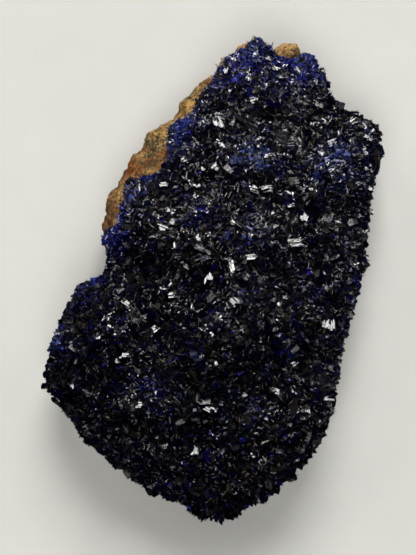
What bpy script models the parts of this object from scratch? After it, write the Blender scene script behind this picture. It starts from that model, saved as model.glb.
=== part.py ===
"""Azurite on limonite: a slab of brown rock with a crust of dark blue azurite crystals grown over its face.

The slab lies on the flat of its back. +Z is up, out of the crystal face, and +Y runs along the slab's
long way. The origin is under the middle of the whole, on the surface that it lies on. Two solids:
the limonite matrix, and the azurite crust, whose crystals are fused to it.
"""

import math
import random

import bmesh
import bpy
import numpy as np
from mathutils import Matrix, Vector, noise
from mathutils.bvhtree import BVHTree

MM = 0.001

# Driving dimensions, in millimetres
CRUST_TOP = 10.1  # height of the crystal face over the middle of the slab
FACE_CROWN = 0.0095  # how fast the face falls away from its middle, per millimetre squared
CRUST_THICKNESS = 1.9  # rock to crystal face, over the middle
CRYSTAL_REACH = 0.42  # how far the crystals' tips stand out past the crust they grow from, at the rim
FIT_GAP = 0.3  # clearance between the rock and the crust
ROCK_WAIST = 3.1  # height at which the rock is widest
ROCK_SQUARENESS = 3.0  # how boxy the section is: 2 is an ellipse, more is squarer
CRUST_SQUARENESS = 3.3
ROCK_BELLY = -1.6  # how low the rock would reach if it were not broken off flat
CRUST_UNDERSIDE = 1.4  # how low the crust reaches inside its rim
VOXEL = 0.42
SEAM = 0.002  # points nearer to each other than this are one
SEED = 29

# Outline of the azurite, tip to tip, seen from above
CRUST_OUTLINE = (
    (3.1, 17.2), (4.1, 16.6), (4.8, 15.9), (5.6, 15.8), (6.5, 16.5), (7.5, 15.9), (8.0, 14.9), (8.4, 14.0),
    (8.9, 13.1), (9.5, 12.5), (10.3, 12.1), (11.4, 11.6), (11.9, 10.4), (11.8, 8.6), (11.3, 6.4), (10.9, 3.4),
    (10.6, 0.8), (10.3, -0.9), (9.7, -3.0), (9.2, -5.0), (8.9, -7.5), (8.3, -9.9), (7.2, -12.2), (5.6, -14.1),
    (3.7, -15.5), (1.6, -16.9), (0.1, -17.2), (-2.6, -16.0), (-5.7, -14.1), (-8.3, -11.9), (-10.3, -9.6),
    (-11.9, -7.7), (-12.0, -6.2), (-11.6, -4.7), (-10.9, -2.6), (-9.9, -0.2), (-7.9, 1.4), (-7.3, 2.2),
    (-7.8, 3.2), (-7.3, 4.4), (-6.9, 5.7), (-6.5, 6.7), (-5.6, 7.7), (-4.4, 8.4), (-3.5, 9.5), (-3.2, 10.4),
    (-2.5, 12.0), (-1.0, 13.3), (0.1, 14.9), (1.5, 16.4),
)

# Outline of the rock at its waist. It shows past the azurite along the upper left side.
ROCK_OUTLINE = (
    (3.1, 17.3), (3.9, 16.1), (5.6, 15.3), (6.6, 14.6), (7.3, 12.6), (8.6, 11.2), (10.1, 10.1), (10.2, 8.2),
    (9.7, 5.0), (9.2, 1.0), (8.6, -2.6), (7.9, -6.2), (6.9, -9.4), (5.2, -11.8), (3.6, -13.6), (1.9, -15.0),
    (0.4, -15.5), (-1.6, -14.4), (-4.6, -12.3), (-7.2, -10.1), (-9.4, -7.6), (-10.2, -5.4), (-9.6, -2.6),
    (-7.9, -0.6), (-6.7, 0.9), (-6.9, 2.6), (-7.5, 4.3), (-6.9, 6.2), (-5.9, 7.9), (-4.8, 9.7), (-3.7, 10.7),
    (-2.5, 12.0), (-1.5, 13.1), (-0.4, 14.2), (1.2, 15.9),
)

# Knobs of bare rock that stand past the azurite: x, y, z, radius
ROCK_KNOBS = (
    (5.4, 15.7, 4.0, 0.95),
    (-5.2, 7.9, 4.1, 1.0),
    (-3.9, 10.1, 4.4, 0.85),
    (-6.4, 5.5, 3.7, 1.05),
    (-1.7, 12.3, 4.4, 0.85),
    (2.3, -14.7, 1.2, 0.9),
)

# Swells (+) and hollows (-) of the crystal face: x, y, radius, height
FACE_SWELLS = (
    (1.2, 12.8, 3.0, 0.5),
    (6.4, 13.4, 2.3, 0.5),
    (10.4, 9.6, 1.9, 1.3),
    (1.9, 8.4, 1.7, 0.7),
    (8.1, 8.2, 1.9, 0.6),
    (5.1, 5.2, 2.2, -0.5),
    (-0.9, 3.1, 2.4, 0.6),
    (-6.4, 3.1, 1.7, 0.9),
    (2.9, 2.6, 1.9, 0.6),
    (-5.6, 1.0, 2.2, -1.0),
    (-2.4, -0.4, 2.2, -0.5),
    (-8.2, -3.6, 3.2, 1.0),
    (-1.6, -3.4, 2.4, 0.5),
    (5.6, -2.6, 2.5, 0.5),
    (-6.2, -8.2, 2.8, 0.7),
    (2.6, -6.6, 2.0, -0.8),
    (4.9, -9.2, 1.9, 0.9),
    (7.3, -7.4, 1.5, 0.5),
    (-0.2, -10.4, 2.2, -0.9),
    (4.6, -12.2, 1.8, 0.4),
    (0.2, -15.0, 1.9, 0.5),
)

# Where the crust ends, all round: direction in degrees from +X, and the height of its lower edge
CRUST_EDGE = (
    (-170, 2.6), (-135, 2.4), (-90, 2.2), (-45, 2.3), (0, 2.4), (40, 2.6), (62, 3.4), (76, 5.6), (86, 5.2),
    (100, 5.0), (125, 5.0), (150, 4.8), (162, 3.8), (172, 2.8),
)

CRYSTAL_COUNT = 335  # places tried. None grows where the rock or the slab's foot is too near
CRYSTAL_SPACING = 1.3
CRYSTAL_LENGTH = (1.8, 2.5)  # whole length, most of it sunk in the crust
CRYSTAL_WIDTH = (1.3, 2.2)
CRYSTAL_FLATNESS = (0.35, 0.6)  # thickness as a share of the width
CRYSTAL_CHISEL = (0.2, 0.9)  # thickness at the end, as a share of the thickness at the foot
CRYSTAL_TAPER = (0.6, 0.95)  # width at the end, as a share of the width at the foot
CRYSTAL_SLANT = 0.45  # slope of the end, at most
CRYSTAL_LEAN = 50  # degrees from the crust's own normal, at most
CRYSTAL_SINK = 0.55  # how deep a crystal's middle lies under the skin
CRYSTAL_ROCK_ROOM = 0.45  # no crystal grows nearer to the rock than this
CRYSTAL_LOWEST = 2.0  # height below which no crystal grows

# Roughness of the two surfaces: grain size, depth, kind
ROCK_GRAIN = ((2.4, 0.8, "cells"), (1.0, 0.3, "noise"))
CRUST_GRAIN = ((3.1, 0.5, "noise"), (1.5, 0.45, "cells"))
CELL_MIDDLE = 0.35  # how far a cell's skin stands from its border on average, so that cells swell no piece

ROCK_TRIANGLES = 1400  # before it is cut off flat
CRUST_TRIANGLES = 1300  # before the crystals are fused to it


def clear_scene():
    for obj in list(bpy.data.objects):
        bpy.data.objects.remove(obj, do_unlink=True)


def new_collection(name):
    collection = bpy.data.collections.new(name)
    bpy.context.scene.collection.children.link(collection)
    return collection


def new_object(name, bm, collection):
    """Ends the bmesh in an object of its own, with its faces turned outwards."""
    bmesh.ops.recalc_face_normals(bm, faces=bm.faces)
    mesh = bpy.data.meshes.new(name)
    bm.to_mesh(mesh)
    bm.free()
    obj = bpy.data.objects.new(name, mesh)
    collection.objects.link(obj)
    return obj


def new_material(name, colour, roughness):
    material = bpy.data.materials.new(name)
    material.use_nodes = True
    shader = material.node_tree.nodes["Principled BSDF"]
    shader.inputs["Base Color"].default_value = (*colour, 1.0)
    shader.inputs["Roughness"].default_value = roughness
    shader.inputs["Metallic"].default_value = 0.0
    return material


def evaluated_mesh(obj):
    graph = bpy.context.evaluated_depsgraph_get()
    return bpy.data.meshes.new_from_object(obj.evaluated_get(graph))


def apply_modifiers(obj):
    mesh = evaluated_mesh(obj)
    obj.modifiers.clear()
    obj.data = mesh


class Outline:
    """A smooth closed curve round the origin, read as a radius for any direction."""

    SAMPLES_PER_SPAN = 10

    def __init__(self, points, inset=0.0):
        count = len(points)
        directions, radii = [], []
        for i in range(count):
            a, b, c, d = (Vector(points[(i + k) % count]) for k in (-1, 0, 1, 2))
            for step in range(self.SAMPLES_PER_SPAN):
                t = step / self.SAMPLES_PER_SPAN
                p = 0.5 * (2 * b + (c - a) * t + (2 * a - 5 * b + 4 * c - d) * t**2)
                p += 0.5 * (3 * b - a - 3 * c + d) * t**3
                directions.append(math.atan2(p.y, p.x))
                radii.append(p.length - inset)
        order = np.argsort(directions)
        self.directions = np.array(directions)[order]
        self.radii = np.array(radii)[order]

    def radius(self, direction):
        return float(np.interp(direction, self.directions, self.radii, period=2 * math.pi))


def face_height(x, y):
    """Height of the crystal face over a point of the plan, before it rounds off to the sides."""
    height = CRUST_TOP - FACE_CROWN * (x * x + y * y)
    for swell_x, swell_y, radius, rise in FACE_SWELLS:
        away = ((x - swell_x) ** 2 + (y - swell_y) ** 2) / radius**2
        height += rise * math.exp(-away)
    return height


def crust_edge_height(direction):
    degrees, heights = zip(*CRUST_EDGE)
    return float(np.interp(math.degrees(direction), degrees, heights, period=360))


def slab(outline, squareness, waist, top, bottom):
    """A ball reshaped to a slab: its equator goes to the outline, at the waist's height, and its poles to
    the top and the bottom. waist, top and bottom are functions of the direction or the point of the plan.
    """
    bm = bmesh.new()
    bmesh.ops.create_icosphere(bm, subdivisions=6, radius=1.0)
    for vertex in bm.verts:
        direction = math.atan2(vertex.co.y, vertex.co.x)
        flat = math.hypot(vertex.co.x, vertex.co.y)
        spread = flat ** (2 / squareness)
        rise = abs(vertex.co.z) ** (2 / squareness)
        x = math.cos(direction) * spread * outline.radius(direction)
        y = math.sin(direction) * spread * outline.radius(direction)
        middle = waist(direction)
        limit = top(x, y) if vertex.co.z > 0 else bottom
        vertex.co = Vector((x, y, middle + (limit - middle) * rise)) * MM
    return bm


def rough_skin(obj, grain):
    """Moves each vertex along its normal by noise. grain holds (size, depth, kind)."""
    bm = bmesh.new()
    bm.from_mesh(obj.data)
    bm.normal_update()
    moves = []
    for vertex in bm.verts:
        shift = 0.0
        for size, depth, kind in grain:
            p = vertex.co / (size * MM)
            if kind == "cells":
                nearest = noise.voronoi(p)[0]
                shift += depth * (nearest[1] - nearest[0] - CELL_MIDDLE)
            else:
                shift += depth * noise.noise(p)
        moves.append(vertex.normal * shift * MM)
    for vertex, move in zip(bm.verts, moves):
        vertex.co += move
    bm.to_mesh(obj.data)
    bm.free()


def remesh(obj, voxel):
    modifier = obj.modifiers.new("even skin", "REMESH")
    modifier.mode = "VOXEL"
    modifier.voxel_size = voxel * MM
    apply_modifiers(obj)


def decimate(obj, triangles):
    obj.data.calc_loop_triangles()
    modifier = obj.modifiers.new("flats", "DECIMATE")
    modifier.ratio = triangles / len(obj.data.loop_triangles)
    modifier.use_collapse_triangulate = True
    apply_modifiers(obj)


def cut_flat_below(obj, height):
    """Cuts the obj off level at a height, as a saw does, and closes the cut."""
    bm = bmesh.new()
    bm.from_mesh(obj.data)
    everything = bm.verts[:] + bm.edges[:] + bm.faces[:]
    made = bmesh.ops.bisect_plane(
        bm, geom=everything, plane_co=(0, 0, height * MM), plane_no=(0, 0, 1), clear_inner=True
    )
    rim = [g for g in made["geom_cut"] if isinstance(g, bmesh.types.BMEdge)]
    bmesh.ops.contextual_create(bm, geom=rim)
    bmesh.ops.triangulate(bm, faces=bm.faces)
    bm.to_mesh(obj.data)
    bm.free()


def make_rock(collection):
    """The limonite: a rough slab with knobs, broken off flat below."""
    outline = Outline(ROCK_OUTLINE)
    bm = slab(
        outline,
        ROCK_SQUARENESS,
        waist=lambda direction: ROCK_WAIST,
        top=lambda x, y: face_height(x, y) - CRUST_THICKNESS,
        bottom=ROCK_BELLY,
    )
    for x, y, z, radius in ROCK_KNOBS:
        place = Matrix.Translation(Vector((x, y, z)) * MM)
        bmesh.ops.create_icosphere(bm, subdivisions=3, radius=radius * MM, matrix=place)
    rock = new_object("limonite_matrix", bm, collection)
    remesh(rock, VOXEL)
    rough_skin(rock, ROCK_GRAIN)
    decimate(rock, ROCK_TRIANGLES)
    cut_flat_below(rock, 0.0)
    return rock


def make_crust_body(collection):
    """The crust as one lump, with the room for the rock still to be cut from it."""
    bm = slab(
        Outline(CRUST_OUTLINE, inset=CRYSTAL_REACH),
        CRUST_SQUARENESS,
        waist=crust_edge_height,
        top=face_height,
        bottom=CRUST_UNDERSIDE,
    )
    crust = new_object("azurite_crust", bm, collection)
    remesh(crust, VOXEL)
    rough_skin(crust, CRUST_GRAIN)
    decimate(crust, CRUST_TRIANGLES)
    return crust


def make_rock_clearance(rock, collection):
    """The rock grown by the fit gap, which hollows out the crust."""
    grown = bpy.data.objects.new("rock_clearance", rock.data.copy())
    collection.objects.link(grown)
    modifier = grown.modifiers.new("gap", "DISPLACE")
    modifier.mid_level = 0.0
    modifier.strength = FIT_GAP * MM
    apply_modifiers(grown)
    return grown


def surface_points(obj, count, spacing, rng):
    """Points spread over an object's skin, none nearer to another than the spacing, with the normals."""
    throws = 60 * count
    mesh = obj.data
    mesh.calc_loop_triangles()
    corners = [[mesh.vertices[i].co for i in tri.vertices] for tri in mesh.loop_triangles]
    areas = [tri.area for tri in mesh.loop_triangles]
    found = []
    for corner in rng.choices(range(len(corners)), areas, k=throws):
        a, b, c = corners[corner]
        u, v = sorted((rng.random(), rng.random()))
        point = a * u + b * (v - u) + c * (1 - v)
        if all((point - other).length > spacing * MM for other, _ in found):
            found.append((point, mesh.loop_triangles[corner].normal.copy()))
        if len(found) == count:
            break
    return found


def crystal(bm, rng):
    """One azurite blade: a flattened prism of four or six sides with a chisel end. Returns its vertices."""
    sides = rng.choice((4, 4, 6))
    width = rng.uniform(*CRYSTAL_WIDTH) * MM
    made = bmesh.ops.create_cone(
        bm,
        cap_ends=True,
        segments=sides,
        radius1=width / 2,
        radius2=width / 2 * rng.uniform(*CRYSTAL_TAPER),
        depth=rng.uniform(*CRYSTAL_LENGTH) * MM,
        matrix=Matrix.Rotation(math.pi / sides, 4, "Z"),
    )
    flatness = rng.uniform(*CRYSTAL_FLATNESS)
    chisel = rng.uniform(*CRYSTAL_CHISEL)
    slant = rng.uniform(-CRYSTAL_SLANT, CRYSTAL_SLANT)
    for vertex in made["verts"]:
        vertex.co.y *= flatness
        if vertex.co.z > 0:
            vertex.co.y *= chisel
            vertex.co.z += slant * vertex.co.x
    return made["verts"]


def draw_in(verts, outline):
    """Moves a blade towards the middle of the slab until none of it stands past the outline."""
    past = Vector((0, 0, 0))
    for vertex in verts:
        away = Vector((vertex.co.x, vertex.co.y, 0))
        over = away.length - outline.radius(math.atan2(away.y, away.x)) * MM
        if over > past.length:
            past = away.normalized() * over
    for vertex in verts:
        vertex.co -= past


def grow_crystals(crust, clearance, collection):
    """Blades all over the outside of the crust, each leaning its own way."""
    rng = random.Random(SEED)
    bm = bmesh.new()
    outline = Outline(CRUST_OUTLINE)
    rock = BVHTree.FromObject(clearance, bpy.context.evaluated_depsgraph_get())
    for point, normal in surface_points(crust, CRYSTAL_COUNT, CRYSTAL_SPACING, rng):
        near, rock_normal, _, _ = rock.find_nearest(point)
        if (point - near).dot(rock_normal) < CRYSTAL_ROCK_ROOM * MM or point.z < CRYSTAL_LOWEST * MM:
            continue
        lean = Vector(rng.gauss(0, 1) for _ in range(3)).normalized()
        axis = (normal + lean * math.tan(math.radians(CRYSTAL_LEAN)) * rng.random()).normalized()
        turn = Matrix.Rotation(rng.uniform(0, math.tau), 4, "Z")
        stand = axis.to_track_quat("Z", "Y").to_matrix().to_4x4()
        place = Matrix.Translation(point - axis * CRYSTAL_SINK * MM)
        blade = crystal(bm, rng)
        bmesh.ops.transform(bm, matrix=place @ stand @ turn, verts=blade)
        draw_in(blade, outline)
    return new_object("crystal_blades", bm, collection)


def boolean(obj, other, operation):
    """Joins or cuts obj. The blades cross each other and the clearance folds in corners, hence use_self."""
    modifier = obj.modifiers.new(operation.lower(), "BOOLEAN")
    modifier.operation = operation
    modifier.object = other
    modifier.use_self = True
    apply_modifiers(obj)


def clean_up(obj):
    """Closes the hair-thin seams that the joins leave where blades cross, and drops loose crumbs."""
    bm = bmesh.new()
    bm.from_mesh(obj.data)
    bmesh.ops.triangulate(bm, faces=bm.faces)
    bmesh.ops.remove_doubles(bm, verts=bm.verts, dist=SEAM * MM)
    bmesh.ops.dissolve_degenerate(bm, edges=bm.edges, dist=SEAM * MM)
    bmesh.ops.triangulate(bm, faces=bm.faces)
    left = set(bm.verts)
    pieces = []
    while left:
        grown, edge = set(), {left.pop()}
        while edge:
            grown |= edge
            edge = {e.other_vert(v) for v in edge for e in v.link_edges} - grown
        left -= grown
        pieces.append(grown)
    largest = max(pieces, key=len)
    bmesh.ops.delete(bm, geom=[v for v in bm.verts if v not in largest], context="VERTS")
    bm.to_mesh(obj.data)
    bm.free()


def main():
    clear_scene()
    specimen = new_collection("azurite_specimen")
    helpers = new_collection("helpers")
    rock = make_rock(specimen)
    crust = make_crust_body(specimen)
    clearance = make_rock_clearance(rock, helpers)
    blades = grow_crystals(crust, clearance, helpers)
    boolean(crust, blades, "UNION")
    boolean(crust, clearance, "DIFFERENCE")
    clean_up(crust)
    for helper in helpers.objects:
        helper.hide_render = True
        helper.display_type = "WIRE"
    rock.data.materials.clear()
    crust.data.materials.clear()
    rock.data.materials.append(new_material("limonite", (0.25, 0.13, 0.055), 0.85))
    crust.data.materials.append(new_material("azurite", (0.006, 0.009, 0.075), 0.15))


main()
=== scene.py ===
"""Dresses the azurite specimen: the crystals of its crust, its limonite rock and a pale table.

Places and sizes are in millimetres unless a line says otherwise. Meshes, and the lengths that a
user sets, are in metres. +Z comes up out of the crystal face, and +Y runs along the slab.
"""

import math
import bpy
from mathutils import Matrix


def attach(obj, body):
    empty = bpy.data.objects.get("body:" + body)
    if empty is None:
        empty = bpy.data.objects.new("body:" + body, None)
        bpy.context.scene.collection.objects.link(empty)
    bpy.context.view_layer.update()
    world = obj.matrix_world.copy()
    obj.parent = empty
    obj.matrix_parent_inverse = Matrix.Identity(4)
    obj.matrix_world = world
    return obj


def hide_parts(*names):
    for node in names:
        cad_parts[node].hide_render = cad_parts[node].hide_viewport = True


bl_info = {
    "name": "Azurite Specimen",
    "version": (1, 0, 0),
    "blender": (4, 5, 0),
    "location": "3D View > Sidebar > Azurite",
    "description": "Grows azurite crystals on a limonite slab and lays it on a pale table",
    "category": "Object",
}

import bmesh
import bpy
import numpy as np
from mathutils import Vector
from mathutils.bvhtree import BVHTree
from mathutils.kdtree import KDTree

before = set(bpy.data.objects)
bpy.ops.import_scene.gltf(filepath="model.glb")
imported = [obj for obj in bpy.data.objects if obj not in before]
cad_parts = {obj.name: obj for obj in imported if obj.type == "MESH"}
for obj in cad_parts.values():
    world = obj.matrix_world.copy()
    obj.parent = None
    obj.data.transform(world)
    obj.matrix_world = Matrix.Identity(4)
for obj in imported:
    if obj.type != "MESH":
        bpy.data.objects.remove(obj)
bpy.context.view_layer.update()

MM = 0.001  # metres
ROCK_NODE = "limonite_matrix"
CRUST_NODE = "azurite_crust"
GLASSY = "glassy azurite"
DULL = "dull azurite"
SHINE = {GLASSY: 0.5, DULL: 0.08}  # how strongly each mirrors its surroundings

# Where the blue shows most: partly the crystals' own blue, and partly painted light through thin
# crystals along the lit top and left rims: x, y, radius, strength
BLUE_AND_BACKLIT_PATCHES = (
    (2.8, 16.0, 2.6, 0.95),
    (6.7, 15.2, 1.7, 1.0),
    (-0.6, 13.4, 1.2, 0.5),
    (-2.0, 10.9, 1.1, 0.9),
    (-2.9, 9.2, 1.0, 0.95),
    (-4.4, 7.5, 1.0, 0.8),
    (-6.0, 6.1, 1.1, 0.75),
    (-7.0, 3.2, 1.4, 0.8),
    (1.6, 14.6, 1.2, 0.5),
    (2.6, 8.5, 1.2, 0.95),
    (8.3, 8.0, 1.7, 0.65),
    (4.8, 7.7, 0.7, 0.4),
    (5.3, 13.2, 0.9, 0.4),
    (-1.0, 4.5, 1.2, 0.6),
    (2.5, 3.0, 1.2, 0.55),
    (-8.5, -0.2, 1.5, 0.55),
    (-10.9, -4.3, 1.4, 0.5),
    (0.3, -1.8, 1.1, 0.35),
    (5.1, -4.6, 1.0, 0.35),
    (-3.2, -9.0, 0.9, 0.35),
    (2.8, -8.3, 0.9, 0.5),
    (-4.4, -6.9, 1.4, 0.45),
    (10.6, 9.9, 1.3, 0.2),
    (6.2, 0.4, 0.8, 0.3),
    (9.8, -0.8, 0.9, 0.35),
)

# Where the blue is a paler steel: x, y, radius
STEEL_PATCHES = (
    (2.7, 16.6, 1.2),
    (6.3, 16.0, 1.0),
    (4.1, 13.8, 0.8),
    (-1.6, 12.2, 1.0),
    (-3.3, 10.6, 1.1),
    (-3.8, 9.2, 1.1),
    (-5.6, 6.7, 1.1),
    (2.9, 8.6, 1.3),
    (8.3, 8.2, 1.8),
    (9.8, 10.6, 1.2),
    (-9.6, -0.1, 1.2),
    (2.7, 3.2, 1.0),
    (2.7, -1.6, 0.9),
    (-11.2, -4.3, 1.0),
    (2.7, -8.6, 1.0),
    (-1.5, -8.6, 0.9),
)

# Where the limonite stays bare of crystals: x, y, radius
BARE_SPOTS = (
    (0.6, 16.2, 0.75),
    (-0.9, 14.1, 0.75),
    (-1.5, 13.4, 0.85),
    (-2.0, 12.7, 0.9),
    (-2.7, 12.1, 0.9),
    (-3.4, 11.5, 0.8),
    (-3.9, 10.9, 0.5),
    (5.5, 16.45, 0.85),
    (3.3, 17.7, 0.72),
)

# Where the crust thins out and its crystals are tan: x, y, radius
TAN_SPOTS = (
    (2.7, 17.0, 0.35),
    (3.9, 16.6, 0.4),
    (4.4, 16.2, 0.35),
    (0.5, 15.2, 0.35),
    (1.2, 16.0, 0.3),
)

# Where the crust's sides swell out, or in for a distance below 0: x, y, radius, distance
CRUST_SWELLS = (
    (10.5, 0.0, 3.2, 0.3),
    (9.3, -4.8, 2.0, 0.1),
    (7.8, -10.5, 3.2, 0.25),
    (-9.0, -10.5, 3.5, 0.3),
    (-11.0, -3.0, 2.0, 0.15),
    (6.7, 15.9, 1.1, 0.5),
    (0.1, 14.6, 0.9, 0.2),
    (-8.3, 0.9, 1.2, -0.35),
    (-7.7, 3.4, 1.0, 0.3),
    (11.5, 7.0, 3.0, 0.2),
)

# Where the crust is pushed, its face and sides alike: x, y, radius, distance along x and along y
CRUST_PUSHES = (
    (-2.3, 12.2, 1.1, 0.6, -0.5),
    (-8.1, 1.0, 1.0, 0.35, -0.25),
    (-7.6, 2.8, 0.8, -0.35, 0.1),
)

# Where the rock's sides swell out or draw in: x, y, radius, distance
ROCK_SWELLS = (
    (5.4, 16.5, 1.1, 0.35),
    (-2.4, 12.4, 1.3, -0.12),
    (-3.6, 11.0, 1.3, -0.15),
)

# A crystal's colour by its tone, from nearly black to blue
TONE_STEPS = (
    (0.0, (0.0002, 0.0002, 0.0006)),
    (0.4, (0.0004, 0.0005, 0.004)),
    (0.6, (0.0009, 0.0011, 0.022)),
    (0.8, (0.003, 0.0045, 0.08)),
    (1.0, (0.011, 0.014, 0.18)),
)

# The same in the steel patches
STEEL_STEPS = (
    (0.0, (0.0003, 0.0003, 0.0006)),
    (0.4, (0.0012, 0.0016, 0.006)),
    (0.6, (0.006, 0.01, 0.03)),
    (0.8, (0.02, 0.035, 0.1)),
    (1.0, (0.05, 0.08, 0.2)),
)

# The brown dust on a crystal: thin and dark up to 0.8, thick and pale at 1
DUST_STEPS = (
    (0.8, (0.011, 0.0095, 0.0065)),
    (1.0, (0.19, 0.165, 0.115)),
)

LINE_WIDTH = 0.13  # of the lines along a crystal
LINE_DEPTH = 0.037
SHINING_LINES = 0.4  # how close the lines of the bright blades are, as a share of the others'

SIDE_SLOPE = 0.4  # where the crust's normal rises less than this, its sides begin
SIDE_PAINTED_FILL_BLUE = 0.6  # how blue the crystals on its sides are, painted fill light on the sides

# Spots of painted shade, where the crystals are dull, more are dusty, and they lean less at random:
# x, y, radius
SHADED_DUSTY_SPOTS = (
    (-4.3, 0.3, 2.0),
    (-7.6, -2.7, 2.4),
    (6.0, 3.2, 1.5),
    (4.5, -4.5, 1.6),
    (-3.3, -2.6, 1.3),
    (-1.2, -0.2, 1.3),
    (-0.9, -3.4, 1.3),
    (-9.8, -6.2, 1.8),
    (-7.0, -6.4, 1.5),
    (-1.1, -6.2, 1.4),
    (2.0, -6.3, 1.4),
    (2.0, -9.6, 1.4),
    (-4.2, -9.8, 1.2),
    (0.2, -12.6, 2.4),
    (0.5, -15.3, 2.2),
    (-7.4, 0.1, 1.3),
    (8.3, 12.4, 1.2),
    (5.2, 15.2, 0.9),
    (2.0, 12.6, 1.0),
    (-1.3, -9.4, 1.2),
    (3.0, 14.6, 0.9),
    (0.3, 14.9, 0.7),
    (-8.4, -0.9, 1.5),
    (-6.6, -3.9, 1.5),
)
CALM = 0.65  # how much less they lean there and at the low end, as a share
SHADED_SPOT_DUST = 0.2  # how many more of them are dusty, as a share
DULL_DEPTHS = (0.1, 0.9)  # how deep in a spot of painted shade the first crystals are dull, and all of them
DULL_DUST = 0.6  # a crystal with more dust than this is dull anywhere

# Towards the slab's low end, from this y down over this reach, crystals lean back up the slab
LOW_END = -4.0
LOW_REACH = 5.0
LOW_TILT = (0.0, 0.85, 0.0)

# Larger blades that lie flat to the main light and shine: x, y, length, width, turn in degrees
BRIGHT_BLADES = (
    (5.5, 2.6, 1.1, 0.6, 5),
    (0.3, 10.6, 0.9, 0.6, 110),
    (7.6, -2.8, 1.1, 0.8, 85),
    (3.5, 6.3, 0.9, 0.5, 10),
    (-1.3, -11.5, 0.8, 0.5, 95),
    (1.1, 14.3, 0.7, 0.25, 70),
    (-5.8, -1.4, 0.9, 0.4, 135),
    (6.1, 4.3, 0.6, 0.5, 75),
    (7.5, -8.0, 1.1, 0.3, 0),
    (5.4, 5.1, 0.8, 0.3, 10),
    (1.3, -1.1, 0.8, 0.4, 130),
    (8.1, 9.3, 0.7, 0.4, 30),
    (-2.6, -0.8, 0.7, 0.4, 10),
    (2.6, 12.1, 0.5, 0.4, 20),
    (2.5, 1.7, 0.7, 0.4, 10),
    (3.7, 15.2, 0.5, 0.25, 165),
    (4.3, -7.4, 0.8, 0.3, 150),
    (9.7, 10.7, 0.5, 0.4, 35),
    (4.7, 13.7, 0.7, 0.2, 0),
    (-0.8, 3.0, 0.6, 0.3, 70),
    (-5.1, -8.1, 0.6, 0.4, 175),
    (-1.8, 8.2, 0.6, 0.3, 30),
    (0.3, 7.7, 0.6, 0.45, 60),
    (-0.8, 7.5, 0.4, 0.3, 20),
    (-3.0, 6.5, 0.8, 0.3, 5),
    (-1.0, 6.3, 0.4, 0.35, 70),
    (-3.3, 3.4, 0.8, 0.4, 155),
    (-2.5, 4.0, 0.5, 0.45, 0),
    (5.8, 14.2, 0.6, 0.25, 120),
    (4.1, 14.4, 0.5, 0.25, 120),
    (7.7, 10.7, 0.4, 0.4, 20),
    (10.2, 9.7, 0.5, 0.3, 160),
    (7.7, 14.6, 0.4, 0.4, 0),
    (-3.7, -3.0, 0.6, 0.4, 40),
    (-5.7, -4.7, 0.7, 0.25, 0),
    (-0.2, 0.5, 0.6, 0.4, 80),
    (-6.4, -5.2, 0.3, 0.3, 0),
    (-9.3, -6.9, 0.45, 0.25, 90),
    (-0.3, -8.3, 0.9, 0.45, 150),
    (-0.2, -3.4, 0.3, 0.25, 40),
    (5.5, -5.5, 0.5, 0.35, 40),
    (6.2, -8.6, 0.35, 0.35, 90),
    (2.8, -11.6, 0.35, 0.3, 30),
    (10.6, 6.6, 0.5, 0.3, 60),
    (10.9, 5.0, 0.4, 0.3, 100),
    (10.2, 7.7, 0.4, 0.3, 20),
    (10.3, 3.6, 0.45, 0.3, 130),
)

# Places where the rock has a tint of its own: place, radius, share, colour
ROCK_TINTS = (
    ((-5.7, 7.9, 4.6), 1.3, 1.0, (0.22, 0.062, 0.009)),
    ((5.4, 16.2, 4.2), 1.8, 0.7, (0.46, 0.27, 0.11)),
    ((-7.3, 5.4, 4.0), 2.6, 0.7, (0.13, 0.055, 0.022)),
)
ROCK_OLIVE = (0.045, 0.037, 0.017)
ROCK_GRAIN = (0.035, 0.019, 0.007)
ROCK_SPECKS = (0.012, 0.013, 0.007)
SPECKLED = ((-3.6, 9.1, 4.8), 1.4)  # a place with more specks, and its radius

LIGHT_DISTANCE = 2.0  # metres
KEY_PLACE = (4, 41)  # azimuth and elevation of the main light
KEY_SIZE = 0.94  # metres
KEY_COLOUR = (1.0, 0.99, 0.965)

# The lights that fill in: name, azimuth, elevation, size in metres, radiance, colour
FILL_LIGHTS = (
    ("left", -50, 35, 1.04, 4.0, (1.0, 0.99, 0.95)),
    ("right", 46, 38, 0.96, 3.5, (0.99, 0.99, 0.98)),
    ("front", 180, 12, 0.7, 3.0, (0.99, 0.99, 1.0)),
    ("over", 190, 70, 1.2, 7.0, (1.0, 0.99, 0.97)),
)

# The room's light by height, from -1 straight down to 1 straight up
ROOM_STEPS = (
    (-0.6, (0.03, 0.03, 0.03)),
    (-0.1, (0.14, 0.14, 0.135)),
    (0.05, (0.3, 0.3, 0.29)),
    (0.3, (0.12, 0.12, 0.115)),
    (0.7, (0.003, 0.003, 0.003)),
)


class CrustSettings(bpy.types.PropertyGroup):
    """Sizes of the crust and its crystals."""

    skin_voxel: bpy.props.FloatProperty(
        name="Skin grain",
        description="Grain of the skin under the crystals",
        default=0.3 * MM,
        min=0.15 * MM,
        precision=5,
        unit="LENGTH",
    )
    spacing: bpy.props.FloatProperty(
        name="Spacing",
        description="Least distance between two groups of blades",
        default=0.31 * MM,
        min=0.1 * MM,
        precision=5,
        unit="LENGTH",
    )
    fine_spacing: bpy.props.FloatProperty(
        name="Fine spacing",
        description="Least distance between two fine crystals",
        default=0.108 * MM,
        min=0.1 * MM,
        precision=6,
        unit="LENGTH",
    )
    blade_length: bpy.props.FloatProperty(
        name="Blade length",
        description="Length of a middling blade",
        default=0.5 * MM,
        min=0.1 * MM,
        precision=5,
        unit="LENGTH",
    )
    fine_length: bpy.props.FloatProperty(
        name="Fine length",
        description="Length of a middling fine crystal",
        default=0.31 * MM,
        min=0.1 * MM,
        precision=5,
        unit="LENGTH",
    )
    lean: bpy.props.FloatProperty(
        name="Lean",
        description="How far the crystals lean from upright",
        default=0.7,
        min=0.0,
        max=3.0,
    )
    seed: bpy.props.IntProperty(
        name="Seed",
        description="Changes every crystal's place, size and lean",
        default=7,
        min=0,
    )


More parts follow.
